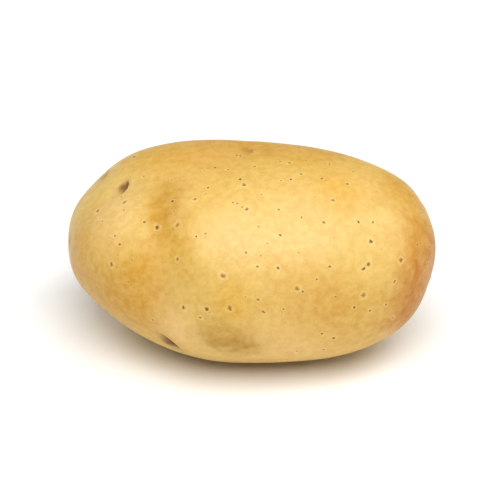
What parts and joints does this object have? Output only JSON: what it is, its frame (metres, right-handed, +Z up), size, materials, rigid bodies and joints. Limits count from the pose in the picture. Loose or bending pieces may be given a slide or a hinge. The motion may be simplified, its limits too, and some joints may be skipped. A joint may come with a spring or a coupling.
{
  "type": "potato",
  "caption": "Whole washed potato with smooth yellow skin and shallow eyes: an uneven oval tuber lying on a small flat spot on its underside.",
  "frame": {"origin": "under the middle of the potato, on the surface that it rests on", "axes": "+X along its length, from the rose end, where most of the eyes are, to the heel end, where it hung on its stolon; +Y across it, away from the side that is seen; +Z up"},
  "size_m": [0.09, 0.06, 0.0475],
  "materials": {
    "skin": "satin"
  },
  "bodies": {
    "root": {"potato": "skin"}
  },
  "joints": []
}
